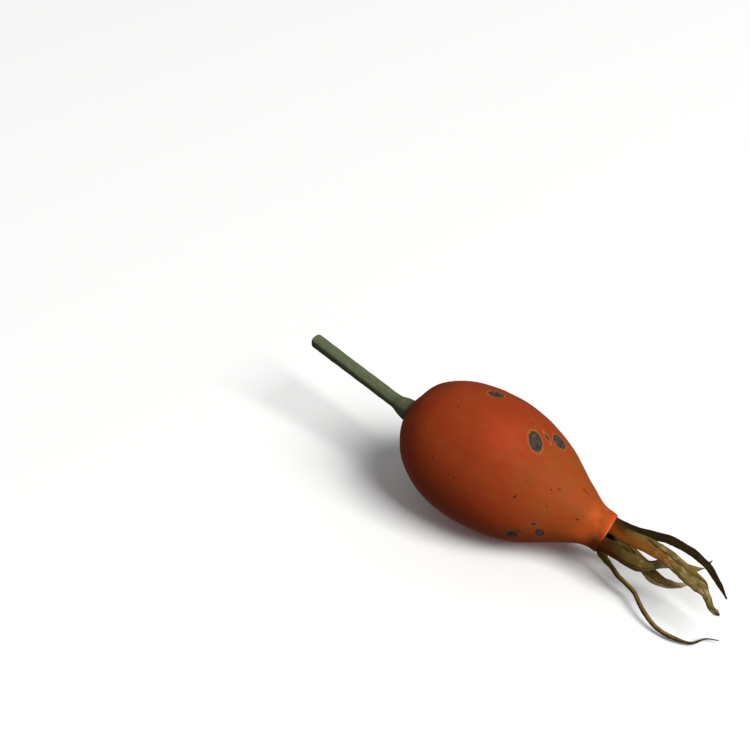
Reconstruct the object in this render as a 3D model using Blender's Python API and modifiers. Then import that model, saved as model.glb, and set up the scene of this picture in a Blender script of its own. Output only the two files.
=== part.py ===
"""A picked rose hip lying on its side, with its cut stem, five dried sepals and a tuft of dry stamens.

Metres, +Z up. +X runs from the stem towards the sepals, and the origin is the middle of the small flat
spot that the hip rests on. All pieces are modelled in the hip's own frame, whose axis dips at the neck.
"""
import random
from math import cos, pi, radians, sin, sqrt, tau

import bmesh
import bpy
from mathutils import Matrix, Vector

MM = 0.001

# Driving dimensions of the hip
HIP_LENGTH = 30.0 * MM
HIP_WIDTH = 17.5 * MM
HIP_DIP = radians(8.5)
FOOT_PLACE = 15.0 * MM
FOOT_RADIUS = 8.5 * MM
FLAT_DEPTH = 0.35 * MM
RIM_ROUNDING = 0.3 * MM
NODE_GAP = 0.3 * MM

# The hip's outline from the stem end to the rim: share of the length, share of the half width
HIP_OUTLINE = (
    (0.0, 0.0), (0.005, 0.17), (0.023, 0.35), (0.073, 0.615), (0.163, 0.835), (0.28, 0.965),
    (0.38, 1.0), (0.5, 0.978), (0.683, 0.802), (0.853, 0.468), (0.95, 0.311), (1.0, 0.28),
)
HIP_STEPS = 40
HIP_SIDES = 56

# The stem's middle line in millimetres (along the hip's axis, sideways, up) and its radius
STEM_LINE = (
    (-0.35, 0.0, 0.0), (-1.3, 0.15, -0.05), (-2.5, 0.4, -0.25), (-5.8, 1.1, -0.6),
    (-12.1, 1.95, -0.75), (-18.4, 2.85, -0.95),
)
STEM_RADII = (1.5, 1.35, 1.04, 0.95, 0.95, 0.98)
STEM_STEPS = 22

# The ring of sepals: five roots, an equal turn apart, counted from the top towards -Y
SEPAL_THICKNESS = 0.6 * MM
SEPAL_RING = 2.2 * MM
SEPAL_START = HIP_LENGTH + NODE_GAP
SEPAL_COLLAR = 0.8 * MM
SEPAL_FIRST_TURN = radians(10.0)
SEPAL_TURN = radians(72.0)
SEPAL_STEPS = 30
SEPAL_ACROSS = 4

# Each sepal's points after its root are in millimetres along the hip's axis, sideways and up. Its widths
# are pairs of share of the length and half width in millimetres, its twist pairs of share and degrees.
SEPALS = {
    "sepal_leafy": {
        "place": 0,
        "line": ((33.1, -0.6, 2.8), (35.9, -0.9, 3.35), (38.8, -1.4, 3.55), (41.7, -1.7, 3.3),
                 (43.6, -1.7, 2.8), (44.7, -2.0, 2.0), (45.5, -2.4, 1.3), (46.8, -2.5, 1.0)),
        "widths": ((0.0, 1.1), (0.15, 1.0), (0.4, 0.87), (0.6, 0.93), (0.75, 0.85), (0.87, 0.45),
                   (0.95, 0.4), (1.0, 0.2)),
        "twist": ((0.0, 0.0), (0.5, 12.0), (1.0, 25.0)),
    },
    "sepal_bent": {
        "place": 1,
        "line": ((32.4, -2.2, 0.4), (34.4, -2.4, 0.8), (36.1, -2.3, 1.0), (37.1, -1.7, 1.2),
                 (37.8, -0.8, 1.4), (38.9, 0.0, 1.7), (40.3, 0.5, 1.9), (42.4, 1.9, 2.3)),
        "widths": ((0.0, 1.1), (0.15, 0.95), (0.35, 1.0), (0.48, 0.85), (0.58, 0.5), (0.85, 0.42),
                   (1.0, 0.15)),
        "twist": ((0.0, 0.0), (1.0, -20.0)),
    },
    "sepal_long": {
        "place": 2,
        "line": ((31.6, -1.5, -2.2), (33.8, -2.5, -2.7), (36.5, -2.9, -3.0), (39.1, -4.7, -3.4),
                 (41.3, -5.4, -3.5), (43.7, -5.4, -3.3), (45.4, -4.7, -3.1), (46.6, -3.2, -2.9),
                 (47.8, -2.4, -2.7)),
        "widths": ((0.0, 1.1), (0.12, 0.6), (0.3, 0.36), (0.6, 0.3), (0.9, 0.18), (1.0, 0.12)),
        "twist": ((0.0, 0.0), (0.25, -45.0), (1.0, -45.0)),
    },
    "sepal_crossed": {
        "place": 3,
        "line": ((32.4, 1.4, -1.5), (34.4, 0.2, -1.25), (36.2, -0.8, -0.9), (37.6, -1.6, -0.55),
                 (39.1, -1.6, -0.35), (40.5, -1.0, -0.2), (41.5, 0.1, -0.1)),
        "widths": ((0.0, 1.1), (0.12, 0.7), (0.3, 0.5), (0.55, 0.68), (0.75, 0.5), (0.9, 0.3),
                   (1.0, 0.12)),
        "twist": ((0.0, 0.0), (1.0, 0.0)),
    },
    "sepal_arched": {
        "place": 4,
        "line": ((31.6, 2.0, 1.2), (33.7, 2.4, 1.4), (36.2, 3.1, 1.85), (39.9, 3.35, 1.8),
                 (42.4, 3.0, 1.4), (44.6, 1.9, 0.5), (46.0, 1.3, -0.1)),
        "widths": ((0.0, 1.1), (0.2, 0.5), (0.45, 0.42), (0.75, 0.32), (1.0, 0.15)),
        "twist": ((0.0, 0.0), (0.35, 60.0), (1.0, 75.0)),
    },
}

# The tuft of dried stamens: a low dome and the bristles that stand on it
TUFT_RADIUS = 1.45 * MM
TUFT_HEIGHT = 0.9 * MM
TUFT_SIDES = 24
TUFT_RINGS = 16
BRISTLES = 30
BRISTLE_SIDES = 5
BRISTLE_SPREAD = 1.05 * MM
BRISTLE_RADIUS = 0.16 * MM
BRISTLE_TIP_RADIUS = 0.1 * MM
BRISTLE_LENGTHS = (1.0 * MM, 1.6 * MM)
BRISTLE_LEAN = radians(16.0)
BRISTLE_LEAN_SHARES = (0.4, 1.0)
BRISTLE_ROOT_HEIGHT = 0.22 * MM
MERGE = 0.00001
GOLDEN_TURN = pi * (3.0 - sqrt(5.0))
SEED = 7
SHARP_ANGLE = radians(40.0)

COLOURS = {
    "hip": ((0.46, 0.075, 0.018, 1.0), 0.42),
    "stem": ((0.085, 0.105, 0.045, 1.0), 0.8),
    "sepal": ((0.17, 0.105, 0.04, 1.0), 0.85),
    "stamens": ((0.02, 0.021, 0.022, 1.0), 0.9),
}


def clear_scene():
    for obj in list(bpy.data.objects):
        bpy.data.objects.remove(obj, do_unlink=True)


def new_collection(name):
    collection = bpy.data.collections.new(name)
    bpy.context.scene.collection.children.link(collection)
    return collection


def new_material(name):
    colour, roughness = COLOURS[name]
    material = bpy.data.materials.new(name)
    material.use_nodes = True
    shader = material.node_tree.nodes["Principled BSDF"]
    shader.inputs["Base Color"].default_value = colour
    shader.inputs["Roughness"].default_value = roughness
    shader.inputs["Metallic"].default_value = 0.0
    material.diffuse_color = colour
    return material


def place_in_frame(along, side, up):
    """A point of the hip's frame, whose Z is the hip's axis and whose X points down."""
    return Vector((-up, side, along))


def smooth_line(points, steps):
    """Points at even steps of length on a smooth curve through the given points."""
    points = [Vector(point) for point in points]
    spans = [(b - a).length for a, b in zip(points, points[1:])]
    chords = [(b - a) / span for a, b, span in zip(points, points[1:], spans)]
    slopes = [chords[0]]
    for before, after, span_before, span_after in zip(chords, chords[1:], spans, spans[1:]):
        slopes.append((before * span_after + after * span_before) / (span_before + span_after))
    slopes.append(chords[-1])
    total = sum(spans)
    line = []
    for step in range(steps + 1):
        travelled = total * step / steps
        index = 0
        while index < len(spans) - 1 and travelled > spans[index]:
            travelled -= spans[index]
            index += 1
        span = spans[index]
        share = min(travelled / span, 1.0)
        rest = 1.0 - share
        line.append(
            points[index] * (rest * rest * (1.0 + 2.0 * share))
            + slopes[index] * (span * share * rest * rest)
            + points[index + 1] * (share * share * (3.0 - 2.0 * share))
            - slopes[index + 1] * (span * share * share * rest)
        )
    return line


def between(pairs, share):
    """The value at a share of the length, from pairs of share and value, eased from pair to pair."""
    for (low, first), (high, second) in zip(pairs, pairs[1:]):
        if share <= high:
            part = (share - low) / (high - low)
            eased = part * part * (3.0 - 2.0 * part)
            return first + (second - first) * eased
    return pairs[-1][1]


def add_object(name, data, collection, frame, material):
    obj = bpy.data.objects.new(name, data)
    data.materials.append(material)
    collection.objects.link(obj)
    obj.parent = frame
    return obj


def shade_round(mesh):
    mesh.shade_smooth()
    mesh.set_sharp_from_angle(angle=SHARP_ANGLE)


def apply_modifiers(obj):
    """Turn what the modifiers make into the object's own mesh."""
    evaluated = obj.evaluated_get(bpy.context.evaluated_depsgraph_get())
    mesh = bpy.data.meshes.new_from_object(evaluated)
    obj.modifiers.clear()
    obj.data = mesh


def fuse(obj, others):
    """Join the objects of a collection to one object and remove them."""
    union = obj.modifiers.new("fused", 'BOOLEAN')
    union.operation = 'UNION'
    union.operand_type = 'COLLECTION'
    union.collection = others
    union.solver = 'EXACT'
    apply_modifiers(obj)
    for other in list(others.objects):
        bpy.data.objects.remove(other, do_unlink=True)
    bpy.data.collections.remove(others)


def make_frame(collection):
    """An empty whose Z is the hip's axis, placed so that the belly's flat spot lies round the origin."""
    tilt = Matrix.Rotation(pi / 2.0 + HIP_DIP, 4, 'Y')
    foot = Vector((FOOT_RADIUS - FLAT_DEPTH, 0.0, FOOT_PLACE))
    frame = bpy.data.objects.new("hip_frame", None)
    frame.matrix_world = Matrix.Translation(-(tilt @ foot)) @ tilt
    collection.objects.link(frame)
    return frame


def hip_profile():
    """Radius and place of the turned outline, from the middle of the rim's face down to the stem end."""
    outline = [Vector((radius * HIP_WIDTH / 2.0, share * HIP_LENGTH)) for share, radius in HIP_OUTLINE]
    skin = smooth_line(outline, HIP_STEPS)
    skin.reverse()
    rim = skin[0].x
    face = [Vector((0.0, HIP_LENGTH)), Vector((rim / 2.0, HIP_LENGTH))]
    rounding = [
        Vector((rim - RIM_ROUNDING * (1.0 - sin(turn)), HIP_LENGTH - RIM_ROUNDING * (1.0 - cos(turn))))
        for turn in (0.0, pi / 6.0, pi / 3.0, pi / 2.0)
    ]
    return face + rounding + [point for point in skin if point.y < HIP_LENGTH - 2.0 * RIM_ROUNDING]


def make_hip(collection, frame, material, cutters):
    bm = bmesh.new()
    verts = [bm.verts.new((point.x, 0.0, point.y)) for point in hip_profile()]
    for first, second in zip(verts, verts[1:]):
        bm.edges.new((first, second))
    mesh = bpy.data.meshes.new("hip")
    bm.to_mesh(mesh)
    bm.free()
    hip = add_object("hip", mesh, collection, frame, material)
    turned = hip.modifiers.new("turned", 'SCREW')
    turned.axis = 'Z'
    turned.angle = tau
    turned.steps = HIP_SIDES
    turned.render_steps = HIP_SIDES
    turned.use_merge_vertices = True
    turned.merge_threshold = MERGE
    apply_modifiers(hip)
    shade_round(hip.data)

    ground = bpy.data.meshes.new("ground_cutter")
    bm = bmesh.new()
    bmesh.ops.create_cube(bm, size=HIP_LENGTH)
    bmesh.ops.translate(bm, verts=bm.verts, vec=(0.0, 0.0, -HIP_LENGTH / 2.0))
    bm.to_mesh(ground)
    bm.free()
    cutter = bpy.data.objects.new("ground_cutter", ground)
    cutter.hide_render = True
    cutter.display_type = 'WIRE'
    cutters.objects.link(cutter)
    flat = hip.modifiers.new("flat_spot", 'BOOLEAN')
    flat.operation = 'DIFFERENCE'
    flat.object = cutter


def make_stem(collection, frame, material):
    """A tube along the stem's line, whose flared end faces the hip across the gap."""
    middle = [place_in_frame(*point) * MM for point in STEM_LINE]
    line = smooth_line([(*point, radius * MM) for point, radius in zip(middle, STEM_RADII)], STEM_STEPS)
    curve = bpy.data.curves.new("stem", 'CURVE')
    curve.dimensions = '3D'
    curve.bevel_depth = MM
    curve.bevel_resolution = 2
    curve.use_fill_caps = True
    spline = curve.splines.new('POLY')
    spline.points.add(len(line) - 1)
    for point, spot in zip(spline.points, line):
        point.co = (spot[0], spot[1], spot[2], 1.0)
        point.radius = spot[3] / MM
    add_object("stem", curve, collection, frame, material)


def make_sepal(name, shape, collection, frame, material):
    """One sepal from its root on the ring to its tip: a solid strip whose edges curl in as the ring does."""
    turn = SEPAL_FIRST_TURN + SEPAL_TURN * shape["place"]
    facing = place_in_frame(0.0, -sin(turn), cos(turn))
    root = facing * SEPAL_RING + place_in_frame(SEPAL_START, 0.0, 0.0)
    collar = root + place_in_frame(SEPAL_COLLAR, 0.0, 0.0)
    line = [root, collar] + [place_in_frame(*point) * MM for point in shape["line"]]
    spots = smooth_line(line, SEPAL_STEPS)
    bm = bmesh.new()
    bmesh.ops.create_grid(bm, x_segments=SEPAL_ACROSS, y_segments=SEPAL_STEPS, size=0.5)
    for vert in bm.verts:
        across = vert.co.x * 2.0
        share = vert.co.y + 0.5
        step = round(share * SEPAL_STEPS)
        ahead = spots[min(step + 1, SEPAL_STEPS)] - spots[max(step - 1, 0)]
        sideways = ahead.cross(facing).normalized()
        sideways.rotate(Matrix.Rotation(radians(between(shape["twist"], share)), 3, ahead))
        outward = sideways.cross(ahead).normalized()
        aside = across * between(shape["widths"], share) * MM
        vert.co = spots[step] + sideways * aside - outward * (aside * aside / (2.0 * SEPAL_RING))
    mesh = bpy.data.meshes.new(name)
    bm.to_mesh(mesh)
    bm.free()
    sepal = add_object(name, mesh, collection, frame, material)
    wall = sepal.modifiers.new("thickness", 'SOLIDIFY')
    wall.thickness = SEPAL_THICKNESS
    wall.offset = 0.0
    shade_round(sepal.data)


def make_tuft(collection, frame, material):
    """A low dome of dried styles with bristle-like stamens spread over it by the golden angle."""
    chance = random.Random(SEED)
    bm = bmesh.new()
    bmesh.ops.create_uvsphere(bm, u_segments=TUFT_SIDES, v_segments=TUFT_RINGS, radius=TUFT_RADIUS)
    flat_cut = bmesh.ops.bisect_plane(
        bm, geom=bm.verts[:] + bm.edges[:] + bm.faces[:], dist=MERGE,
        plane_co=(0.0, 0.0, 0.0), plane_no=(0.0, 0.0, 1.0), clear_inner=True,
    )
    rim_edges = [item for item in flat_cut["geom_cut"] if isinstance(item, bmesh.types.BMEdge)]
    bmesh.ops.contextual_create(bm, geom=rim_edges)
    bmesh.ops.scale(bm, verts=bm.verts, vec=(1.0, 1.0, TUFT_HEIGHT / TUFT_RADIUS))
    bmesh.ops.translate(bm, verts=bm.verts, vec=(0.0, 0.0, SEPAL_START))
    bmesh.ops.recalc_face_normals(bm, faces=bm.faces)
    mesh = bpy.data.meshes.new("stamen_tuft")
    bm.to_mesh(mesh)
    bm.free()
    tuft = add_object("stamen_tuft", mesh, collection, frame, material)

    bristles = new_collection("bristles")
    for index in range(BRISTLES):
        reach = sqrt((index + 0.5) / BRISTLES)
        turn = index * GOLDEN_TURN
        length = chance.uniform(*BRISTLE_LENGTHS)
        lean = BRISTLE_LEAN * reach * chance.uniform(*BRISTLE_LEAN_SHARES)
        bm = bmesh.new()
        bmesh.ops.create_cone(
            bm, cap_ends=True, segments=BRISTLE_SIDES, radius1=BRISTLE_RADIUS,
            radius2=BRISTLE_TIP_RADIUS, depth=length,
        )
        bmesh.ops.translate(bm, verts=bm.verts, vec=(0.0, 0.0, length / 2.0))
        stand = Matrix.Translation((0.0, 0.0, SEPAL_START + BRISTLE_ROOT_HEIGHT))
        outward = Matrix.Rotation(turn, 4, 'Z') @ Matrix.Translation((BRISTLE_SPREAD * reach, 0.0, 0.0))
        bmesh.ops.transform(bm, verts=bm.verts, matrix=stand @ outward @ Matrix.Rotation(lean, 4, 'Y'))
        bristle = bpy.data.meshes.new("bristle")
        bm.to_mesh(bristle)
        bm.free()
        add_object("bristle_%02d" % index, bristle, bristles, frame, material)
    fuse(tuft, bristles)
    shade_round(tuft.data)


def main():
    clear_scene()
    parts = new_collection("rose_hip")
    cutters = new_collection("cutters")
    frame = make_frame(parts)
    materials = {name: new_material(name) for name in COLOURS}
    bpy.context.view_layer.update()
    make_hip(parts, frame, materials["hip"], cutters)
    make_stem(parts, frame, materials["stem"])
    for name, shape in SEPALS.items():
        make_sepal(name, shape, parts, frame, materials["sepal"])
    make_tuft(parts, frame, materials["stamens"])


main()
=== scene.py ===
"""The finished look of a picked rose hip: its skin, cut stem, five dried sepals and dry stamens.

Every piece is modelled in the hip's own frame, whose Z runs from the stem to the sepals and whose X
points down, and stands where the CAD node that it replaces stands. Lengths are in metres unless a name
or a comment says so.
"""

import random
from math import atan2, cos, exp, pi, radians, sin, sqrt, tau

import bmesh
import bpy
from bpy.props import FloatProperty, FloatVectorProperty, IntProperty, PointerProperty
from mathutils import Euler, Matrix, Vector, noise


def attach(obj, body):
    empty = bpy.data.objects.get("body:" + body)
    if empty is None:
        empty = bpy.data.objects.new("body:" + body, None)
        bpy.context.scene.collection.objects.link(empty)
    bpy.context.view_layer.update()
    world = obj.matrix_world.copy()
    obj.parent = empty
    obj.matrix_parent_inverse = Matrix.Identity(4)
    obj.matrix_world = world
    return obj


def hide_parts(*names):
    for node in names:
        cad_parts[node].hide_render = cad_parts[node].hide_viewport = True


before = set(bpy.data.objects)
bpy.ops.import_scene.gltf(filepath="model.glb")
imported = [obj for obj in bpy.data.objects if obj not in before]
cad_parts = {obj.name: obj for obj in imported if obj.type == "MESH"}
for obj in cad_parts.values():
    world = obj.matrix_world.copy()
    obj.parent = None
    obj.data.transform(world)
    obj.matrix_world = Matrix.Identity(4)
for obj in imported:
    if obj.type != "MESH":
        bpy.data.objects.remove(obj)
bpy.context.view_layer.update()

bl_info = {
    "name": "Rose Hip",
    "version": (1, 0, 0),
    "blender": (4, 5, 0),
    "location": "3D View > Sidebar > Rose Hip",
    "description": "Builds a picked rose hip with its stem, dried sepals and stamens",
    "category": "Add Mesh",
}

MM = 0.001
MERGE = 0.00001
SHARP_ANGLE = radians(40.0)

# The hip's size and how it lies
HIP_LENGTH = 30.0 * MM
HIP_WIDTH = 17.5 * MM
HIP_DIP = radians(8.5)
FOOT_PLACE = 15.0 * MM
FOOT_RADIUS = 8.5 * MM
FLAT_DEPTH = 0.35 * MM
TILT = Matrix.Rotation(pi / 2.0 + HIP_DIP, 4, 'Y')
FOOT = Vector((FOOT_RADIUS - FLAT_DEPTH, 0.0, FOOT_PLACE))
HIP_FRAME = Matrix.Translation(-(TILT @ FOOT)) @ TILT

# The hip's outline from the stem end to the rim: share of the length, share of the half width
HIP_OUTLINE = (
    (0.0, 0.0), (0.005, 0.17), (0.023, 0.35), (0.073, 0.615), (0.163, 0.835), (0.28, 0.965),
    (0.38, 1.0), (0.5, 0.978), (0.683, 0.802), (0.853, 0.468), (0.95, 0.308), (1.0, 0.3),
)
OUTLINE_STEPS = 120
SWELL_SIZE = 6.5 * MM
DENT_SIZE = 1.9 * MM
DENT_SHIFT = Vector((4.0, 1.0, 7.0))
NECK_RIBS = 5
SHOULDER_PUCKERS = 7

# The rim in millimetres, from its rounded lip to the sunken disc: inwards from the lip, down from the rim
RIM_FACE = (
    (0.01, 0.15), (0.04, 0.06), (0.1, 0.01), (0.26, 0.0), (0.44, 0.05), (0.62, 0.22), (0.8, 0.36),
)
LIP_GAP = 0.1 * MM
DISC_SINK = 0.42 * MM
DISC_RINGS = (0.5, 0.3, 0.15, 0.0)
# The ring angle, from the top towards -Y, where the rim stands forward, and from what radius on
RIM_TURN = radians(38.0)
RISE_RADIUS = 1.6 * MM

# The stem's middle line in millimetres (along the hip's axis, sideways, up) and its radius
STEM_LINE = (
    (0.45, 0.0, 0.0), (-1.3, 0.15, -0.05), (-2.5, 0.4, -0.25), (-5.8, 1.1, -0.6),
    (-12.1, 1.95, -0.75), (-18.4, 2.85, -0.95),
)
STEM_RADII = (1.62, 1.31, 1.02, 0.95, 0.95, 0.98)
STEM_SIDES = 48
STEM_STEPS = 120
STEM_RIBS = 5
BARK_LUMP_SIZE = 1.3 * MM
# The cut end: its rounded edge, its slant, the widths and depths of its face's rings, and where the face
# takes over from the bark, in millimetres from the hip
CUT_ROUNDING = 0.06 * MM
CUT_SLANT = 0.16 * MM
CUT_RINGS = ((0.25 * MM, 0.0), (0.3 * MM, -0.05 * MM))
CUT_PLACES = (19.0, 19.12)

# The ring of sepals: five roots, an equal turn apart, counted from the top towards -Y
SEPAL_RING = 2.28 * MM
SEPAL_START = HIP_LENGTH - 0.5 * MM
SEPAL_FIRST_TURN = radians(10.0)
SEPAL_TURN = radians(72.0)
BLADE_SIDES = 56
BLADE_STEPS = 140
# The half widths below which a blade's wall and its middle rib get thinner
THIN_WALL = 0.45 * MM
THIN_RIDGE = 0.8 * MM

# Each sepal runs straight out of the rim for its collar, then through points in millimetres along the
# hip's axis, sideways and up. Its widths are pairs of share of the length and half width in millimetres,
# its twist pairs of share and degrees. Its creases are pairs of share and place across the blade, then
# half width, depth in millimetres and the share where they begin. Far and near are its two edges, with
# the colour settings from root to tip, and bleached is how pale its folds are.
SEPALS = {
    "leafy_sepal": {
        "node": "sepal_leafy", "bleached": 0.5, "place": 0, "collar": 1.6, "slot": "dry_sepal",
        "line": ((32.01, -0.67, 2.33), (33.13, -0.79, 2.61), (34.53, -0.89, 2.96), (35.91, -0.99, 3.26),
            (37.4, -1.16, 3.49), (38.8, -1.37, 3.58), (40.2, -1.59, 3.51), (41.68, -1.77, 3.23),
            (43.55, -1.83, 2.68), (44.62, -2.06, 1.96), (45.49, -2.42, 1.28), (46.72, -2.51, 1.0)),
        "widths": ((0.0, 1.4), (0.12, 1.05), (0.3, 1.05), (0.45, 1.0), (0.65, 1.0), (0.77, 0.95),
            (0.85, 0.48), (0.9, 0.4), (0.97, 0.38), (1.0, 0.15)),
        "twist": ((0.0, 0.0), (0.5, 12.0), (1.0, 25.0)),
        "creases": ((((0.24, -0.75), (0.46, -0.1), (0.64, -0.2), (0.84, -0.9)), 0.22, 0.2, 0.24),
            (((0.5, 0.5), (1.0, 0.1)), 0.1, 0.06, 0.55)),
        "far": ((0.14, "umber"), (0.22, "olive"), (0.88, "olive"), (1.0, "umber")),
        "near": ((0.0, "bark"), (0.12, "rust"), (0.3, "gold"), (0.48, "gold"), (0.6, "olive"),
            (0.88, "olive"), (1.0, "umber")),
    },
    "bent_sepal": {
        "node": "sepal_bent", "bleached": 0.3, "place": 1, "collar": 1.6, "slot": "dry_sepal",
        "line": ((32.4, -2.23, 0.37), (34.4, -2.52, 0.69), (36.12, -2.35, 0.95), (37.1, -1.7, 1.2),
            (37.82, -0.81, 1.38), (38.97, -0.09, 1.6), (40.33, 0.43, 1.82), (41.5, 1.02, 1.94),
            (42.22, 1.72, 2.12)),
        "widths": ((0.0, 1.35), (0.1, 1.1), (0.25, 1.05), (0.4, 1.05), (0.5, 0.8), (0.58, 0.55),
            (0.8, 0.5), (0.9, 0.36), (1.0, 0.06)),
        "twist": ((0.0, 0.0), (1.0, -20.0)),
        "creases": (),
        # The pale stops at 0.64 are painted light, brightening the stretch beyond the bend where the
        # leafy sepal casts its shadow.
        "far": ((0.0, "bark"), (0.16, "umber"), (0.3, "moss"), (0.54, "moss"), (0.64, "pale"),
            (0.8, "straw")),
        "near": ((0.22, "bark"), (0.34, "moss"), (0.54, "moss"), (0.64, "pale"), (0.8, "olive")),
    },
    "long_sepal": {
        "node": "sepal_long", "bleached": 0.25, "place": 2, "collar": 0.5, "slot": "dry_sepal",
        "line": ((31.4, -1.5, -2.42), (32.7, -1.95, -2.52), (33.84, -2.43, -2.64), (35.11, -2.64, -2.8),
            (36.49, -2.91, -3.01), (37.73, -3.75, -3.16), (39.14, -4.6, -3.32), (41.3, -5.36, -3.47),
            (43.7, -5.37, -3.27), (45.45, -4.73, -3.14), (46.52, -3.15, -2.84), (47.75, -2.43, -2.72)),
        "widths": ((0.0, 1.2), (0.05, 0.9), (0.1, 0.46), (0.16, 0.33), (0.3, 0.28), (0.5, 0.29),
            (0.72, 0.28), (0.84, 0.16), (1.0, 0.06)),
        "twist": ((0.0, 0.0), (0.12, 30.0), (0.3, 62.0), (1.0, 62.0)),
        "creases": ((((0.0, -0.25), (1.0, -0.25)), 0.2, 0.05, 0.05),),
        "far": ((0.0, "bark"), (0.1, "moss"), (0.22, "umber"), (0.9, "umber"), (1.0, "shadow")),
        "near": ((0.0, "bark"), (0.05, "straw"), (0.7, "straw"), (0.82, "umber")),
    },
    "crossed_sepal": {
        # The tan is the blade's own colour. Its strongly bleached folds and its straw and pale stops are
        # made lighter as painted light, where the leafy sepal casts its shadow.
        "node": "sepal_crossed", "bleached": 0.7, "place": 3, "collar": 1.6, "slot": "dark_sepal",
        "line": ((32.41, 1.43, -1.47), (33.45, 0.95, -1.28), (34.47, 0.41, -1.08), (35.38, -0.09, -0.93),
            (36.28, -0.62, -0.75), (37.65, -1.45, -0.43), (39.09, -1.55, -0.3), (40.45, -0.96, -0.15),
            (41.75, 0.45, 0.0)),
        "widths": ((0.0, 1.35), (0.1, 0.85), (0.25, 0.62), (0.4, 0.65), (0.52, 0.82), (0.65, 0.8),
            (0.78, 0.56), (0.88, 0.34), (1.0, 0.05)),
        "twist": ((0.0, 0.0), (1.0, 0.0)),
        "creases": ((((0.0, -0.3), (1.0, -0.3)), 0.2, 0.07, 0.1),),
        "far": ((0.0, "umber"), (0.1, "straw"), (0.35, "straw"), (0.48, "moss"), (0.65, "straw"),
            (1.0, "pale")),
        "near": ((0.0, "bark"), (0.15, "straw"), (0.7, "straw"), (1.0, "pale")),
    },
    "arched_sepal": {
        "node": "sepal_arched", "bleached": 0.03, "place": 4, "collar": 1.6, "slot": "dark_sepal",
        "line": ((31.61, 1.97, 1.17), (32.61, 2.15, 1.25), (33.71, 2.33, 1.33), (35.08, 2.66, 1.49),
            (36.25, 2.99, 1.73), (38.01, 3.17, 1.82), (39.88, 3.29, 1.74), (41.18, 3.11, 1.52),
            (42.35, 2.92, 1.33), (43.57, 2.45, 0.91), (44.64, 1.96, 0.55), (45.95, 1.34, -0.05)),
        "widths": ((0.0, 1.4), (0.08, 1.05), (0.16, 0.85), (0.3, 0.76), (0.42, 0.76), (0.6, 0.62),
            (0.75, 0.5), (0.88, 0.36), (1.0, 0.14)),
        "twist": ((0.0, 0.0), (0.3, 60.0), (1.0, 75.0)),
        "creases": ((((0.0, 0.15), (1.0, 0.15)), 0.16, 0.07, 0.15),),
        "far": ((0.0, "umber"), (0.12, "shadow")),
        "near": ((0.0, "umber"), (0.12, "shadow")),
    },
}
# The small side tooth of the arched sepal, in the same measures as a sepal's line
TOOTH_LINE = ((42.0, 3.0, 1.45), (42.1, 3.2, 1.75), (42.2, 3.4, 1.95), (42.25, 3.42, 2.1))
TOOTH_RADIUS = 0.3 * MM
TOOTH_SIDES = 8
TOOTH_STEPS = 10
TOOTH_TIP = 0.1

# The skin's marks: place along the axis in millimetres, ring angle in degrees from the top towards -Y,
# half length and half width in millimetres, and the turn of the length from the axis in degrees
BLEMISHES = (
    (18.2, 4.7, 1.5, 0.89, 39.7), (18.7, -9.3, 0.67, 0.16, 18.2), (19.9, -20.2, 1.11, 0.93, 20.5),
    (10.1, -16.2, 1.02, 0.81, -42.4), (20.9, 107.4, 0.74, 0.63, -59.3), (21.5, 99.9, 0.53, 0.14, 23.3),
    (22.9, 84.4, 0.41, 0.22, -28.2), (23.7, 97.6, 0.6, 0.55, 67.7), (13.5, -120.0, 1.2, 0.7, 30.0),
    (17.0, -134.0, 0.7, 0.4, -20.0), (7.4, 160.0, 0.9, 0.6, 65.0), (22.5, -75.0, 0.8, 0.35, -35.0),
)
SPECKS = (
    (16.4, -8.6, 0.14, 0.1, 77.0), (19.9, 60.5, 0.24, 0.1, -68.0), (22.9, 34.0, 0.12, 0.1, 0.0),
    (23.6, 27.1, 0.14, 0.1, -42.0), (26.9, 51.5, 0.17, 0.1, -28.0), (23.4, 54.6, 0.1, 0.08, 39.0),
    (12.4, 70.9, 0.12, 0.1, -55.0), (7.9, 18.0, 0.13, 0.09, 39.0), (8.7, 66.9, 0.12, 0.09, -38.0),
    (25.8, -6.3, 0.5, 0.07, -5.0),
)
# A soft painted highlight on the lit upper side of the belly, in the same measures
PAINTED_HIGHLIGHTS = ((15.5, 20.0, 5.0, 3.6, 15.0),)
# How far a mark reaches into the flesh, in half lengths of its own
MARK_DEPTH = 5.0
SLOPE_STEP = 0.5 * MM

# The tuft in the middle of the rim, and the radius that its threads keep within
TUFT_BASE = HIP_LENGTH - 0.35 * MM
TUFT_RADIUS = 1.5 * MM
TUFT_HEIGHT = 1.3 * MM
TUFT_ROOM = 1.95 * MM
DOME_SIDES = 64
DOME_RINGS = 40
LUMP_SIZE = 0.35 * MM
CRUMB_SIZE = 0.12 * MM
# The threads' sides and steps, and their bends, each of which is a length in millimetres further on
STAMEN_SIDES, STAMEN_STEPS, STAMEN_BENDS = 6, 7, 3
STAMEN_REACH = (0.16, 0.36)
HAIR_SIDES, HAIR_STEPS, HAIR_BENDS = 4, 10, 5
HAIR_REACH = (0.2, 0.34)
GOLDEN_TURN = pi * (3.0 - sqrt(5.0))
SEED = 7

# The camera that the photograph was taken with, and the light that fell on the hip
CAMERA_PLACE = (0.075598, -0.120532, 0.125091)
CAMERA_TURN = (radians(54.0), 0.0, radians(38.312))
CAMERA_LENS = 70.0
CAMERA_SENSOR = 36.0
LIGHT_AIM = (0.0, 0.0, 8.0 * MM)
FLOOR_GAP = 0.02 * MM


def paint(*levels):
    """Linear colour of red, green and blue levels from 0 to 255 as a screen shows them."""
    return tuple(((level / 255.0 + 0.055) / 1.055) ** 2.4 for level in levels)


def tint(name, text, *levels):
    """A setting for a colour, whose default is given in levels from 0 to 255."""
    return FloatVectorProperty(
        name=name, description=text, subtype='COLOR', size=3, min=0.0, max=1.0, default=paint(*levels))


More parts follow.
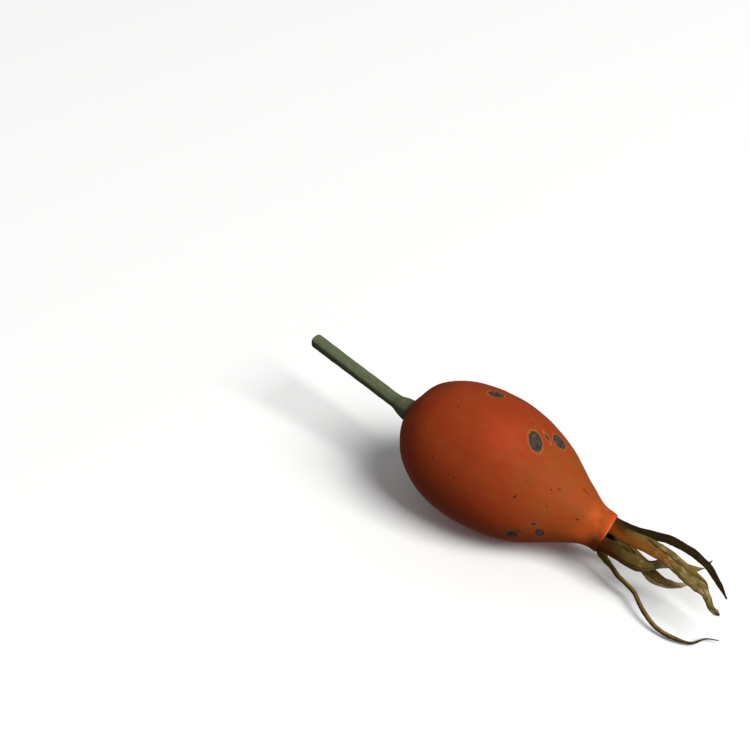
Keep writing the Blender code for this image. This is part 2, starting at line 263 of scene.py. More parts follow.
def length(name, text, default):
    """A setting for a length in metres."""
    return FloatProperty(
        name=name, description=text, default=default, min=0.0, unit='LENGTH', precision=6)


def angle(name, text, default):
    """A setting for an angle in degrees."""
    return FloatProperty(name=name, description=text, default=radians(default), subtype='ANGLE')


def count(name, text, default, most):
    """A setting for a number of things."""
    return IntProperty(name=name, description=text, default=default, min=1, max=most)


class HipSkinSettings(bpy.types.PropertyGroup):
    """Sizes and colours of the hip itself."""

    sides: count("Sides", "Faces round the hip", 168, 400)
    rings: count("Rings", "Faces along the hip", 110, 300)
    swell: length("Swell", "Depth of the broad unevenness", 0.14 * MM)
    dents: length("Dents", "Depth of the small dents", 0.035 * MM)
    neck_ribs: length("Neck ribs", "Depth of the five faint ribs below the sepals", 0.06 * MM)
    rim_rise: length("Rim rise", "How far the rim stands forward between two sepals", 0.62 * MM)
    shoulder: tint("Shoulder", "Skin round the stem", 118, 40, 14)
    belly: tint("Belly", "Skin of the widest stretch", 148, 55, 24)
    neck: tint("Neck", "Browner skin towards the neck", 150, 66, 26)
    throat: tint("Throat", "Skin just below the rim", 188, 82, 33)
    lip: tint("Lip", "Bright edge of the rim", 214, 72, 34)
    flesh: tint("Flesh", "Pale flesh on the rim's edge", 206, 140, 84)
    # The ochre patches are the skin's own mottle, laid on more strongly on the upper side as painted
    # light.
    ochre: tint("Ochre", "Patches that the sun has faded", 138, 70, 26)
    # This colour is a painted highlight, laid on the lit upper side of the belly.
    painted_highlight: tint("Blush", "Brighter patch that faced the sun", 180, 66, 36)
    # This colour is painted shade, laid on the skin's lower side and towards the stem.
    painted_shade_skin: tint("Deep", "Skin on the side that saw less sun", 108, 32, 3)
    # This colour is painted shade on the low part of the rim.
    rim_painted_shade: tint("Low rim", "Brown skin on the low part of the rim", 78, 28, 5)
    disc: tint("Disc", "Brown of the sunken disc", 70, 44, 18)
    blemish: tint("Blemish", "Middle of the dark blemishes", 54, 50, 44)
    blemish_ring: tint("Blemish ring", "Purple-grey ring inside a blemish", 86, 70, 80)
    blemish_edge: tint("Blemish edge", "Grey-green edge of a blemish", 68, 68, 46)
    halo: tint("Halo", "Pale line round a blemish", 168, 98, 50)
    speck: tint("Speck", "Small dark specks", 72, 22, 14)


class StemSettings(bpy.types.PropertyGroup):
    """Sizes and colours of the cut stem."""

    rib_depth: length("Rib depth", "Depth of the lengthwise ribs", 0.035 * MM)
    unevenness: length("Unevenness", "Depth of the bark's uneven places", 0.045 * MM)
    bark: tint("Bark", "Grey-green bark", 94, 102, 76)
    moss: tint("Moss", "Yellower green mottles", 94, 101, 68)
    groove: tint("Groove", "Dark lengthwise grooves", 64, 70, 50)
    # This colour is painted shade on the stem's underside.
    stem_painted_shade: tint("Under", "Darker underside", 62, 66, 42)
    lichen: tint("Pale specks", "Pale grey specks of the bark", 128, 130, 108)
    scar: tint("Scar", "Brown where the stem meets the hip", 84, 62, 34)
    cut: tint("Cut", "Dried face of the cut end", 128, 122, 88)


class SepalSettings(bpy.types.PropertyGroup):
    """Sizes and colours of the dried sepals."""

    thickness: length("Thickness", "Thickness at the middle of a blade", 0.42 * MM)
    ridge: length("Ridge", "Height of the middle rib", 0.08 * MM)
    ripple: length("Ripple", "Depth of the dried waves", 0.1 * MM)
    ragged: FloatProperty(
        name="Ragged", description="How uneven the edges are", default=0.09, min=0.0, max=1.0,
        subtype='FACTOR')
    rust: tint("Rust", "Orange-brown root of the leafy sepal", 120, 58, 14)
    gold: tint("Gold", "Golden brown lower half of the leafy sepal", 132, 80, 29)
    straw: tint("Straw", "Tan of the dry blades", 128, 105, 55)
    olive: tint("Olive", "Olive of the dry blades", 108, 90, 44)
    moss: tint("Moss", "Darker olive of the bent and crossed sepals", 98, 80, 38)
    umber: tint("Umber", "Dark brown edges and roots", 62, 40, 13)
    bark: tint("Bark", "Red-brown roots", 92, 44, 14)
    shadow: tint("Shadow", "Nearly black shrivelled blade", 37, 27, 10)
    # This colour is the blades' palest folds, and also painted light where the bent and crossed sepals
    # lie in the leafy sepal's shadow.
    pale: tint("Pale folds", "Palest folds of the dry blades", 182, 158, 112)
    # This colour is the dark fibres and edges of the blades, and painted shade in their creases.
    vein_and_crease_shade: tint("Vein", "Dark creases", 50, 34, 13)


class TuftSettings(bpy.types.PropertyGroup):
    """Sizes and colours of the dried stamens and styles."""

    stamens: count("Stamens", "Number of dark stamens", 80, 400)
    hairs: count("Hairs", "Number of curly hairs", 150, 500)
    stamen_radius: length("Stamen radius", "Radius of a dried stamen", 0.075 * MM)
    hair_radius: length("Hair radius", "Radius of a curly hair", 0.025 * MM)
    dust: tint("Dust", "Grey-brown dust on the dome", 54, 50, 48)
    dome: tint("Dome", "Dark crumbly styles", 20, 22, 24)
    stamen: tint("Stamen", "Dark dried stamens", 34, 34, 36)
    hair: tint("Hair", "Pale curly hairs", 128, 124, 122)


class StudioSettings(bpy.types.PropertyGroup):
    """The plain studio round the hip."""

    floor: length("Floor", "Side of the floor", 4.0)
    floor_colour: tint("Floor colour", "Plain pale floor", 250, 250, 249)
    key_height: angle("Key height", "Angle of the key light above the floor", 47.0)
    key_turn: angle("Key turn", "Turn of the key light from +X", -4.0)
    key_distance: length("Key distance", "Distance of the key light", 2.4)
    key_size: length("Key size", "Side of the key light", 1.2)
    key_power: FloatProperty(
        name="Key power", description="Power of the key light", default=69.2, min=0.0, unit='POWER')
    sky: FloatProperty(
        name="Sky", description="Strength of the light from all round", default=0.26, min=0.0)


class Wire:
    """A socket of a material, so that sums on it can be written as Python expressions."""

    def __init__(self, finish, socket):
        self.finish = finish
        self.socket = socket

    def __add__(self, other):
        return self.finish.maths('ADD', self, other)

    def __sub__(self, other):
        return self.finish.maths('SUBTRACT', self, other)

    def __rsub__(self, other):
        return self.finish.maths('SUBTRACT', other, self)

    def __mul__(self, other):
        return self.finish.maths('MULTIPLY', self, other)

    def __truediv__(self, other):
        return self.finish.maths('DIVIDE', self, other)

    def __rtruediv__(self, other):
        return self.finish.maths('DIVIDE', other, self)

    __radd__ = __add__
    __rmul__ = __mul__


class Finish:
    """A procedural material: one Principled shader and the nodes that feed it."""

    def __init__(self, name, **constants):
        self.material = bpy.data.materials.new(name)
        self.material.use_nodes = True
        self.tree = self.material.node_tree
        self.shader = self.tree.nodes["Principled BSDF"]
        for socket, value in constants.items():
            self.shader.inputs[socket.replace("_", " ")].default_value = value

    def node(self, kind, values, outputs=(0,), **settings):
        """Add a node: its settings first, then the values or links of its sockets."""
        made = self.tree.nodes.new(kind)
        for name, value in settings.items():
            if name == "stops":
                self.set_stops(made.color_ramp.elements, value)
            else:
                setattr(made, name, value)
        for name, value in values.items():
            self.feed(made.inputs[name], value)
        wires = [Wire(self, made.outputs[output]) for output in outputs]
        return wires[0] if len(wires) == 1 else wires

    def feed(self, socket, value):
        """Link a wire to a socket, or set the socket's own value."""
        if isinstance(value, Wire):
            self.tree.links.new(value.socket, socket)
        elif socket.type == 'RGBA' and len(value) == 3:
            socket.default_value = (*value, 1.0)
        else:
            socket.default_value = value

    @staticmethod
    def set_stops(elements, stops):
        """Give a ramp its pairs of place and colour or grey level."""
        while len(elements) < len(stops):
            elements.new(1.0)
        for element, (place, level) in zip(elements, stops):
            element.position = place
            element.color = (*level, 1.0) if hasattr(level, "__len__") else (level, level, level, 1.0)

    def maths(self, operation, first, second=0.0):
        return self.node('ShaderNodeMath', {0: first, 1: second}, operation=operation)

    def mix(self, factor, first, second, blend='MIX'):
        """A colour between two, or the first one blended with the second in another way."""
        return self.node(
            'ShaderNodeMix', {0: factor, 6: first, 7: second}, (2,), data_type='RGBA', blend_type=blend)

    def ramp(self, value, *stops):
        return self.node('ShaderNodeValToRGB', {"Fac": value}, stops=stops)

    def toned(self, colour, value, *stops):
        """The colour made darker or lighter, by the grey levels of a ramp over a value."""
        return self.mix(1.0, colour, self.ramp(value, *stops), 'MULTIPLY')

    def size(self, vector):
        return self.node('ShaderNodeVectorMath', {0: vector}, ("Value",), operation='LENGTH')

    def rise(self, value, low, high):
        """Goes smoothly from 0 at low to 1 at high. Low may be the larger one."""
        return self.node(
            'ShaderNodeMapRange', {"Value": value, "From Min": low, "From Max": high},
            interpolation_type='SMOOTHSTEP')

    def noise(self, place, scale, detail=3.0, rough=0.55, bend=0.0):
        return self.node('ShaderNodeTexNoise', {
            "Vector": place, "Scale": scale, "Detail": detail, "Roughness": rough, "Distortion": bend})

    def stretch(self, place, *scale):
        return self.node('ShaderNodeMapping', {"Vector": place, "Scale": scale})

    def parts(self, place):
        return self.node('ShaderNodeSeparateXYZ', {0: place}, (0, 1, 2))

    def attribute(self, name):
        return self.node('ShaderNodeAttribute', {}, ("Vector",), attribute_name=name)

    def settle(self, matrix, scale):
        """The place in a frame of its own, such as a mark's, in units of that frame's scale."""
        spot = self.node('ShaderNodeTexCoord', {}, ("Object",))
        return self.node('ShaderNodeMapping', {
            "Vector": spot, "Location": matrix.translation, "Rotation": matrix.to_euler(),
            "Scale": scale}, vector_type='TEXTURE')

    def shine(self, colour, roughness, relief):
        """Link the colour, the roughness and the relief, which is a height in millimetres."""
        self.feed(self.shader.inputs["Base Color"], colour)
        self.feed(self.shader.inputs["Roughness"], roughness)
        bump = self.node('ShaderNodeBump', {"Strength": 1.0, "Distance": MM, "Height": relief})
        self.feed(self.shader.inputs["Normal"], bump)
        return self.material


def place_in_frame(along, side, up):
    """A point of the hip's frame, whose Z is the hip's axis and whose X points down."""
    return Vector((-up, side, along))


def smooth_line(points, steps):
    """Points at even steps of length on a smooth curve through the given points."""
    points = [Vector(point) for point in points]
    spans = [(b - a).length for a, b in zip(points, points[1:])]
    chords = [(b - a) / span for a, b, span in zip(points, points[1:], spans)]
    slopes = [chords[0]]
    for before, after, span_before, span_after in zip(chords, chords[1:], spans, spans[1:]):
        slopes.append((before * span_after + after * span_before) / (span_before + span_after))
    slopes.append(chords[-1])
    total = sum(spans)
    line = []
    for step in range(steps + 1):
        travelled = total * step / steps
        index = 0
        while index < len(spans) - 1 and travelled > spans[index]:
            travelled -= spans[index]
            index += 1
        span = spans[index]
        part = min(travelled / span, 1.0)
        rest = 1.0 - part
        line.append(
            points[index] * (rest * rest * (1.0 + 2.0 * part))
            + slopes[index] * (span * part * rest * rest)
            + points[index + 1] * (part * part * (3.0 - 2.0 * part))
            - slopes[index + 1] * (span * part * part * rest)
        )
    return line


def eased(part):
    """Goes smoothly from 0 at 0 to 1 at 1, and stays there beyond them."""
    part = min(max(part, 0.0), 1.0)
    return part * part * (3.0 - 2.0 * part)


def between(pairs, part):
    """The value at a share of the length, from pairs of share and value, eased from pair to pair."""
    for (low, first), (high, second) in zip(pairs, pairs[1:]):
        if part <= high:
            return first + (second - first) * eased((part - low) / (high - low))
    return pairs[-1][1]


def start_mesh():
    """A new mesh. Its vertices carry their straightened place in millimetres: across, through, along."""
    bm = bmesh.new()
    return bm, bm.verts.layers.float_vector.new("grain")


def straight_tube(bm, sides, steps):
    """Add a closed tube of radius 1 from z = 0 to z = 1 and give its vertices."""
    ring = bmesh.ops.create_circle(bm, cap_ends=True, segments=sides, radius=1.0)["verts"]
    tube = list(ring)
    edges = list({edge for vert in ring for edge in vert.link_edges})
    for _ in range(steps):
        made = bmesh.ops.extrude_edge_only(bm, edges=edges)["geom"]
        ring = [item for item in made if isinstance(item, bmesh.types.BMVert)]
        edges = [item for item in made if isinstance(item, bmesh.types.BMEdge) and item.is_boundary]
        bmesh.ops.translate(bm, verts=ring, vec=(0.0, 0.0, 1.0 / steps))
        tube += ring
    bmesh.ops.contextual_create(bm, geom=edges)
    return tube


def tube_along(bm, spots, sides):
    """Add a closed tube. Gives each vertex, its turn, and its share, spot and direction on the line."""
    last = len(spots) - 1
    for vert in straight_tube(bm, sides, last):
        part = vert.co.z
        step = round(part * last)
        ahead = spots[min(step + 1, last)] - spots[max(step - 1, 0)]
        yield vert, atan2(vert.co.y, vert.co.x), part, spots[step], ahead.normalized()


def new_object(name, data):
    """A new object with this data in the scene."""
    made = bpy.data.objects.new(name, data)
    bpy.context.scene.collection.objects.link(made)
    return made


def add_piece(bm, name, material, nodes=()):
    """Make the mesh a finished piece in the shared frame, which stands for the given CAD nodes."""
    bmesh.ops.recalc_face_normals(bm, faces=bm.faces)
    if any(not edge.is_manifold for edge in bm.edges):
        raise RuntimeError("%s has an open seam" % name)
    mesh = bpy.data.meshes.new(name)
    bm.to_mesh(mesh)
    bm.free()
    mesh.materials.append(material)
    mesh.shade_smooth()
    mesh.set_sharp_from_angle(angle=SHARP_ANGLE)
    piece = new_object(name, mesh)
    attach(piece, "root")
    if nodes:
        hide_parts(*nodes)


def hip_line(steps):
    """Radius and place along the axis on the hip's outline, from the stem end to the rim."""
    outline = [Vector((radius * HIP_WIDTH / 2.0, place * HIP_LENGTH)) for place, radius in HIP_OUTLINE]
    return smooth_line(outline, steps)


def hip_radius(along):
    """The hip's radius at a place along its axis."""
    line = hip_line(OUTLINE_STEPS)
    for first, second in zip(line, line[1:]):
        if along <= second.y:
            return first.x + (second.x - first.x) * (along - first.y) / (second.y - first.y)
    return line[-1].x


def skin_shift(spot, normal, look):
    """How far the real hip stands out from a turned one, at a spot of the hip's frame."""
    along = spot.z / HIP_LENGTH
    ring = atan2(spot.y, spot.x)
    swell = look.swell * noise.noise(spot / SWELL_SIZE)
    dents = look.dents * noise.noise(spot / DENT_SIZE + DENT_SHIFT)
    ribs = look.neck_ribs * cos(NECK_RIBS * ring + 0.6) * eased((along - 0.74) / 0.2)
    pucker = look.neck_ribs * cos(SHOULDER_PUCKERS * ring + sin(2.0 * ring))
    pucker *= eased((0.16 - along) / 0.12) * eased(spot.xy.length / (3.0 * MM))
    outside = eased((normal.xy.length - 0.1) / 0.3) * eased((1.0 - along) / 0.02)
    return (swell + dents + ribs + pucker) * outside


def rim_rise(spot, look):
    """How far the rim stands forward at a spot of the hip's frame."""
    ring = atan2(-spot.y, -spot.x)
    return look.rim_rise * max(0.0, cos(ring - RIM_TURN)) * eased((spot.z / HIP_LENGTH - 0.9) / 0.1)


def mark_frame(mark):
    """Where a mark lies on the skin: X runs along the mark, Y across it and Z out of the skin."""
    along, ring, _, _, turn = mark
    place = along * MM
    ring = radians(ring)
    turn = radians(turn)
    slope = (hip_radius(place + SLOPE_STEP) - hip_radius(place - SLOPE_STEP)) / (2.0 * SLOPE_STEP)
    outward = place_in_frame(0.0, -sin(ring), cos(ring))
    lengthwise = (outward * slope + place_in_frame(1.0, 0.0, 0.0)).normalized()
    around = place_in_frame(0.0, -cos(ring), -sin(ring))
    long_way = lengthwise * cos(turn) + around * sin(turn)
    out = lengthwise.cross(around).normalized()
    short_way = out.cross(long_way)
    matrix = Matrix((long_way, short_way, out)).transposed().to_4x4()
    matrix.translation = outward * hip_radius(place) + place_in_frame(place, 0.0, 0.0)
    return HIP_FRAME @ matrix


def nearest_mark(finish, marks, wobble):
    """Distance in millimetres from the nearest mark's outline, below zero inside it."""
    nearest = None
    for mark in marks:
        half_length, half_width = mark[2] * MM, mark[3] * MM
        place = finish.settle(mark_frame(mark), (half_length, half_width, MARK_DEPTH * half_length))
        gap = (finish.size(place) - 1.0) * mark[3]
        nearest = gap if nearest is None else finish.maths('MINIMUM', nearest, gap)
    return nearest + wobble


def skin_tones(finish, look, place, mottle, fine):
    """The skin from its browner shoulder to its throat, with soft patches and fine streaks, painted shade
    on its lower side and a painted highlight on its upper belly.
    """
    down, side, along = finish.parts(place)
    broad = finish.noise(place, 0.16, 3.0)
    streaks = finish.noise(finish.stretch(place, 1.3, 1.3, 0.3), 1.0, 4.0, 0.6)
    body = finish.ramp(
        along / (HIP_LENGTH / MM) + (broad - 0.5) * 0.14, (0.0, look.shoulder), (0.2, look.belly),
        (0.6, look.belly), (0.78, look.neck), (0.88, look.neck), (0.97, look.throat))
    # The ochre patches are the skin's own mottle everywhere, and are stronger on the upper, lit side as
    # painted light.
    painted_light_top = finish.rise(side * 0.4 - down, -2.0, 5.0) * finish.rise(along, 13.0, 21.0)
    body = finish.mix(finish.rise(mottle, 0.38, 0.66) * (painted_light_top * 0.6 + 0.25), body, look.ochre)
    # Painted shade: the skin darkens towards its lower side and the stem end.
    painted_shade_mask = finish.rise(down * 0.8 - side * 0.35 - along * 0.22, -3.5, 4.5)
    body = finish.mix(painted_shade_mask * 0.7, body, look.painted_shade_skin)
    # Painted highlight: a soft bright patch on the lit upper side of the belly.
    painted_highlight = nearest_mark(finish, PAINTED_HIGHLIGHTS, (broad - 0.5) * 4.0)
    body = finish.mix(finish.rise(painted_highlight, 0.5, -3.5) * 0.45, body, look.painted_highlight)
    body = finish.toned(body, streaks, (0.25, 0.92), (0.5, 1.0), (0.75, 1.04))
    return finish.toned(body, fine, (0.3, 0.95), (0.5, 1.0), (0.7, 1.04))


def rim_tones(finish, look, place, mottle, body):
    """The skin with its bright lip, painted shade on the low part of the rim, the pale edge and the disc.
    """
    down, side, along = finish.parts(place)
    around = finish.size(finish.stretch(place, 1.0, 1.0, 0.0))
    facing = finish.maths('MAXIMUM', (down * -cos(RIM_TURN) - side * sin(RIM_TURN)) / around, 0.0)
    below_rim = along - facing * (look.rim_rise / MM)
    # Painted shade: the low part of the rim is darkened, and its lip and pale flesh are dimmed there.
    low = finish.rise(down + (mottle - 0.5) * 1.5, -2.3, -0.5)
    body = finish.mix(low * finish.rise(below_rim, 27.6, 29.4) * 0.85, body, look.rim_painted_shade)
    lip = finish.rise(below_rim + (mottle - 0.5) * 0.4, 29.4, 29.8) * (1.0 - low)
    body = finish.mix(lip * 0.65, body, look.lip)
    pale = finish.mix(finish.rise(side + (mottle - 0.5) * 1.5, -0.9, 0.2), look.flesh, look.lip)
    pale = finish.mix(low, pale, look.rim_painted_shade)
    rim = finish.mix(finish.rise(around, 2.2, 2.4), look.disc, pale)
    face = finish.rise(around, 2.6, 2.54) * finish.rise(along, 29.3, 29.4)
    return finish.mix(face, body, rim)


def blemish_tones(finish, look, place, fine, body):
    """The skin with its scabs, and where they are. Each has a purple ring and a pale line round it."""
    gap = nearest_mark(finish, BLEMISHES, (finish.noise(place, 1.7, 4.0, 0.65) - 0.5) * 0.3)
    rings = gap + (finish.noise(place, 1.2, 3.0) - 0.5) * 0.7
    scab = finish.ramp(
        rings + 1.0, (0.2, look.blemish_edge), (0.4, look.blemish), (0.8, look.blemish),
        (0.95, look.blemish_edge))
    bruise = finish.rise(rings, -0.65, -0.45) * finish.rise(rings, -0.2, -0.35)
    broken = finish.rise(finish.noise(place, 1.6, 3.0), 0.42, 0.58)
    scab = finish.mix(bruise * broken, scab, look.blemish_ring)
    scab = finish.toned(scab, fine, (0.3, 0.65), (0.7, 1.3))
    haloed = finish.rise(gap, 0.2, 0.08) * finish.rise(finish.parts(place)[0], 1.0, -2.0)
    body = finish.mix(haloed * 0.6, body, look.halo)
    scabbed = finish.rise(gap, 0.07, -0.07)
    return finish.mix(scabbed, body, scab), scabbed


def speck_tones(finish, look, place, fine, body):
    """The skin with its small dark specks, placed and strewn ones, and where they are."""
    specks = finish.rise(nearest_mark(finish, SPECKS, (fine - 0.5) * 0.12), 0.05, -0.03)
    dots, choice = finish.node(
        'ShaderNodeTexVoronoi', {"Vector": place, "Scale": 0.55}, ("Distance", "Color"))
    chosen = finish.rise(finish.parts(choice)[0], 0.1, 0.05)
    specks = finish.maths('MAXIMUM', specks, finish.rise(dots, 0.075, 0.035) * chosen)
    return finish.mix(specks * 0.8, body, look.speck), specks


def skin_finish(look):
    """The hip's skin: its tones, its rim, blemishes and specks, and its faint wrinkles."""
    finish = Finish("hip_skin", Specular_IOR_Level=0.05)
    place = finish.settle(HIP_FRAME, (MM, MM, MM))
    mottle = finish.noise(place, 0.5, 5.0, 0.58, 0.3)
    fine = finish.noise(place, 5.0, 4.0, 0.7)
    wrinkles = finish.noise(finish.stretch(place, 2.6, 2.6, 0.5), 1.0, 4.0, 0.6)
    body = skin_tones(finish, look, place, mottle, fine)
    body = rim_tones(finish, look, place, mottle, body)
    body, scabbed = blemish_tones(finish, look, place, fine, body)
    body, specks = speck_tones(finish, look, place, fine, body)
    relief = fine * 0.008 + wrinkles * 0.014 + mottle * 0.05
    relief = relief - scabbed * (0.05 + fine * 0.05) - specks * 0.03
    return finish.shine(body, 0.52 + mottle * 0.16 + scabbed * 0.25, relief)


def hip_profile(look):
    """Radius and place on the turned outline, from the stem over the lip to the middle of the disc."""
    skin = hip_line(look.rings)
    rim = skin[-1].x
    profile = [point for point in skin if point.y < HIP_LENGTH - RIM_FACE[0][1] * MM - LIP_GAP]
    profile += [Vector((rim - inward * MM, HIP_LENGTH - depth * MM)) for inward, depth in RIM_FACE]
    return profile + [Vector((ring * rim, HIP_LENGTH - DISC_SINK)) for ring in DISC_RINGS]


def build_flesh(look):
    """The hip: a turned outline with an uneven skin, a lip, a sunken disc and a flat spot to rest on."""
    bm, _ = start_mesh()
    verts = [bm.verts.new((point.x, 0.0, point.y)) for point in hip_profile(look)]
    edges = [bm.edges.new(pair) for pair in zip(verts, verts[1:])]
    bmesh.ops.spin(
        bm, geom=verts + edges, axis=(0.0, 0.0, 1.0), cent=(0.0, 0.0, 0.0), angle=tau,
        steps=look.sides, use_merge=True)
    bmesh.ops.remove_doubles(bm, verts=bm.verts, dist=MERGE)
    bmesh.ops.recalc_face_normals(bm, faces=bm.faces)
    bm.normal_update()
    moves = [(vert, vert.normal * skin_shift(vert.co, vert.normal, look)) for vert in bm.verts]
    for vert, move in moves:
        rise = rim_rise(vert.co, look)
        vert.co += move
        vert.co.z += rise * eased(vert.co.xy.length / RISE_RADIUS)
    bmesh.ops.transform(bm, verts=bm.verts, matrix=HIP_FRAME)
    for vert in bm.verts:
        vert.co.z = max(vert.co.z, 0.0)
    add_piece(bm, "hip_flesh", skin_finish(look), ["hip"])


def stem_finish(look):
    """Grey-green bark with faint mottles and grooves, painted shade on its underside and a dried cut end.
    """
    finish = Finish("stem_bark", Specular_IOR_Level=0.06)
    grain = finish.attribute("grain")
    towards, down, along = finish.parts(grain)
    mottle = finish.noise(grain, 1.9, 5.0, 0.7)
    grooves = finish.noise(finish.stretch(grain, 2.4, 2.4, 0.4), 1.0, 4.0, 0.6)
    fine = finish.noise(grain, 7.0, 3.0, 0.7)
    bark = finish.mix(finish.rise(mottle, 0.42, 0.66), look.bark, look.moss)
    bark = finish.mix(finish.rise(grooves, 0.46, 0.3) * 0.4, bark, look.groove)
    specks = finish.noise(grain, 3.6, 3.0, 0.6)
    bark = finish.mix(finish.rise(specks, 0.52, 0.68) * 0.4, bark, look.lichen)
    # Painted shade: the underside of the stem is darkened, with a fairly crisp edge.
    stem_painted_shade = finish.rise(towards * 0.72 + down * 0.69 + (mottle - 0.5) * 0.3, 0.2, 0.45)
    bark = finish.mix(stem_painted_shade * 0.7, bark, look.stem_painted_shade)
    bark = finish.toned(bark, fine, (0.3, 0.8), (0.5, 1.0), (0.72, 1.2))
    bark = finish.mix(finish.rise(along + (mottle - 0.5) * 0.8, 0.75, 0.4) * 0.7, bark, look.scar)
    cut = finish.toned(look.cut, finish.noise(grain, 6.0), (0.3, 0.55), (0.7, 1.15))
    bark = finish.mix(finish.rise(along, *CUT_PLACES), bark, cut)
    relief = grooves * 0.05 + mottle * 0.05 + fine * 0.02
    return finish.shine(bark, 0.78 + mottle * 0.14, relief)


def build_stem(look):
    """The cut flower stalk: a faintly ribbed tube that flares onto the hip and ends in a slanted cut."""
    middle = [place_in_frame(*point) * MM for point in STEM_LINE]
    line = smooth_line([(*point, radius * MM) for point, radius in zip(middle, STEM_RADII)], STEM_STEPS)
    spots = [point.xyz for point in line]
    total = sum((b - a).length for a, b in zip(spots, spots[1:]))
    bm, grain = start_mesh()
    for vert, turn, part, spot, ahead in tube_along(bm, spots, STEM_SIDES):
        sideways = ahead.cross(Vector((1.0, 0.0, 0.0))).normalized()
        away = sideways * cos(turn) + sideways.cross(ahead) * sin(turn)
        radius = line[round(part * STEM_STEPS)].w
        radius += look.rib_depth * cos(STEM_RIBS * turn + 3.0 * part) * eased(part / 0.2)
        radius += look.unevenness * noise.noise((spot + away * radius) / BARK_LUMP_SIZE)
        radius -= CUT_ROUNDING * eased((part - 0.993) / 0.007)
        slant = ahead * (CUT_SLANT * cos(turn + 0.8) * eased((part - 0.97) / 0.03))
        vert.co = HIP_FRAME @ (spot + away * radius + slant)
        vert[grain] = Vector((radius * cos(turn), radius * sin(turn), total * part)) / MM
    for cap in [face for face in bm.faces if len(face.verts) == STEM_SIDES]:
        for width, depth in CUT_RINGS:
            bmesh.ops.inset_individual(bm, faces=[cap], thickness=width, depth=depth)
    add_piece(bm, "cut_stem", stem_finish(look), ["stem"])


def sepal_finish(name, shape, look):
    """A dry blade: colours from root to tip on either edge, lengthwise fibres, painted shade in its
    creases and pale folds.
    """
    finish = Finish(name, Specular_IOR_Level=0.03)
    grain = finish.attribute("grain")
    across, fold, along = finish.parts(finish.attribute("blade"))
    fibres = finish.noise(finish.stretch(grain, 2.6, 2.6, 0.85), 1.0, 4.0, 0.6, 0.4)
    patches = finish.noise(finish.stretch(grain, 1.3, 1.3, 0.8), 0.9, 4.0, 0.6)
    fine = finish.noise(grain, 12.0, 3.0, 0.7)
    place = along + (patches - 0.5) * 0.12
    far, near = (
        finish.ramp(place, *[(stop, getattr(look, colour)) for stop, colour in shape[side]])
        for side in ("far", "near"))
    colour = finish.mix(finish.rise(across + (patches - 0.5) * 1.2, -0.6, 0.6), far, near)
    colour = finish.mix(finish.rise(fibres, 0.46, 0.28) * 0.35, colour, look.vein_and_crease_shade)
    folds = finish.rise(fibres * 0.5 + patches * 0.5, 0.47, 0.6) * finish.rise(along, 0.3, 0.5)
    colour = finish.mix(folds * shape["bleached"], colour, look.pale)
    broken = finish.rise(finish.noise(finish.stretch(grain, 1.5, 1.5, 0.8), 1.0, 4.0, 0.7), 0.38, 0.54)
    # Painted shade: the blade darkens where it folds into a crease.
    colour = finish.mix(finish.rise(fold, 0.4, 0.95) * broken * 0.8, colour, look.vein_and_crease_shade)
    edge = finish.rise(finish.maths('ABSOLUTE', across) + (fibres - 0.5) * 0.5, 0.84, 1.0)
    colour = finish.mix(edge * 0.5, colour, look.vein_and_crease_shade)
    colour = finish.toned(colour, fine, (0.3, 0.82), (0.5, 1.0), (0.7, 1.18))
    relief = fibres * 0.07 + patches * 0.06 + fine * 0.015
    return finish.shine(colour, 0.72 + patches * 0.15, relief)


def blade_half_width(across, part, along, shape, look):
    """Half the width of a blade at a place along it, with its uneven edges."""
    own = 7.0 * shape["place"]
    hand = 3.0 if across > 0.0 else -3.0
    uneven = noise.noise(Vector((along * 0.6, hand, own)))
    uneven += 0.5 * noise.noise(Vector((along * 1.9, hand, own)))
    half = between(shape["widths"], part) * MM
    return half * (1.0 + look.ragged * uneven * eased(part / 0.08) * abs(across))


def blade_lift(across, part, along, half, shape, look):
    """How far a blade stands out from its line at a place, and how far into a crease the place lies."""
    own = 7.0 * shape["place"]
    aside = across * half
    lift = -aside * aside / (2.0 * SEPAL_RING)
    lift += look.ridge * exp(-(across / 0.14) ** 2) * min(1.0, half / THIN_RIDGE)
    lift += eased(part / 0.15) * look.ripple * noise.noise(Vector((along * 0.45, across * 1.2, own)))
    fold = 0.0
    for places, crease_half, depth, start in shape["creases"]:
        centre = between(places, max(part, places[0][0]))
        centre += 0.1 * noise.noise(Vector((along * 0.6, 2.0, own)))
        crease = exp(-((across - centre) / crease_half) ** 2) * eased((part - start) / 0.12)
        lift -= crease * depth * MM * eased((1.0 - part) / 0.15)
        fold = max(fold, crease)
    return lift, fold


def add_blade(bm, grain, blade, line, shape, facing, look):
    """Add one blade along a line. It faces outward, and its edges curl in as the ring of sepals does."""
    spots = smooth_line(line, BLADE_STEPS)
    total = sum((b - a).length for a, b in zip(spots, spots[1:]))
    for vert, turn, part, spot, ahead in tube_along(bm, spots, BLADE_SIDES):
        across = cos(turn)
        along = part * total / MM
        sideways = ahead.cross(facing).normalized()
        sideways.rotate(Matrix.Rotation(radians(between(shape["twist"], part)), 3, ahead))
        outward = sideways.cross(ahead).normalized()
        half = blade_half_width(across, part, along, shape, look)
        lift, fold = blade_lift(across, part, along, half, shape, look)
        wall = sin(turn) * look.thickness / 2.0 * min(1.0, half / THIN_WALL)
        wall *= 0.5 + 0.5 * eased(part / 0.15)
        vert.co = HIP_FRAME @ (spot + sideways * (across * half) + outward * (lift + wall))
        vert[grain] = Vector((across * half, wall, part * total)) / MM
        vert[blade] = Vector((across, fold, part))


